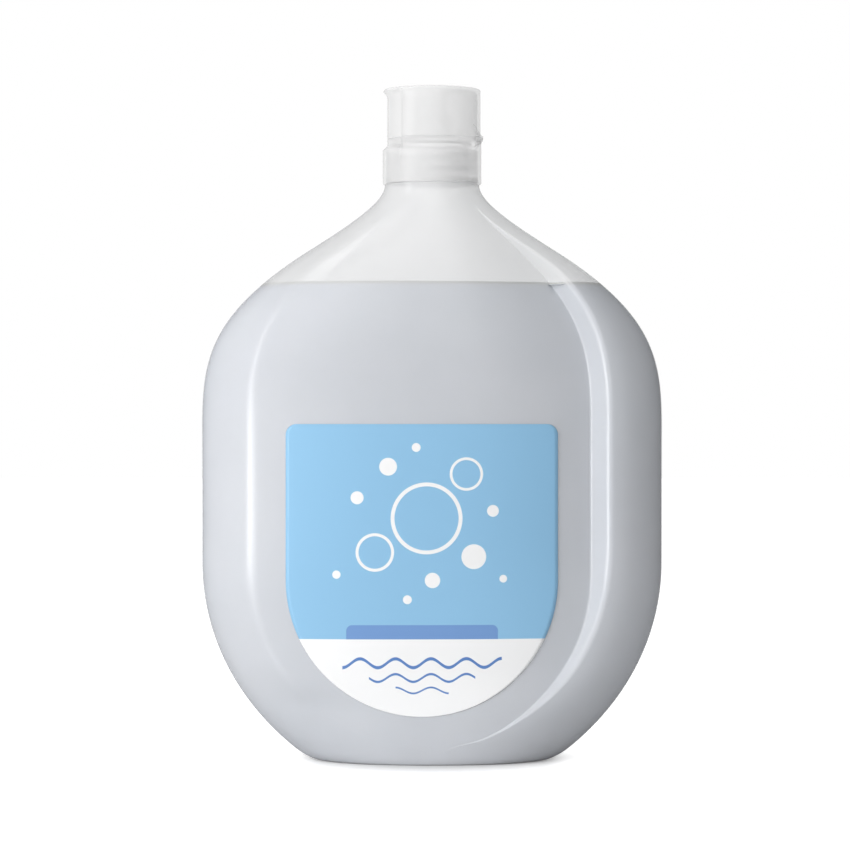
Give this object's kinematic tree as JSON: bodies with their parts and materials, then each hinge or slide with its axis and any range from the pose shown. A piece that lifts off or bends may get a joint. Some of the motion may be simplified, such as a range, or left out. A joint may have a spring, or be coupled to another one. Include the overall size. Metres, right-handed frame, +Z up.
{
  "type": "hand soap refill bottle",
  "caption": "Flattened round translucent refill bottle with a sunken label panel, liquid soap inside and a flip-top pouring closure.",
  "frame": {"origin": "middle of the base, on the surface that the bottle stands on, on the neck's axis", "axes": "+Z up along the neck, -Y out of the front label, +X towards the closure's hinge"},
  "size_m": [0.159, 0.0582, 0.2318],
  "materials": {
    "bottle_plastic": "natural translucent polyethylene, satin",
    "soap": "clear liquid with a faint cool tint",
    "closure_plastic": "natural translucent polypropylene, smooth",
    "liner_foam": "white foam",
    "label_film": "printed film, satin"
  },
  "bodies": {
    "bottle": {"bottle": "bottle_plastic", "soap": "soap", "closure_base": "closure_plastic", "closure_liner": "liner_foam", "front_label": "label_film", "back_label": "label_film"},
    "lid": {"flip_lid": "closure_plastic"}
  },
  "joints": [
    {"name": "lid_hinge", "type": "hinge", "parent": "bottle", "child": "lid", "pos_m": [0.0179, 0, 0.21475], "axis": [0, 1, 0], "range_deg": [0, 150]}
  ]
}
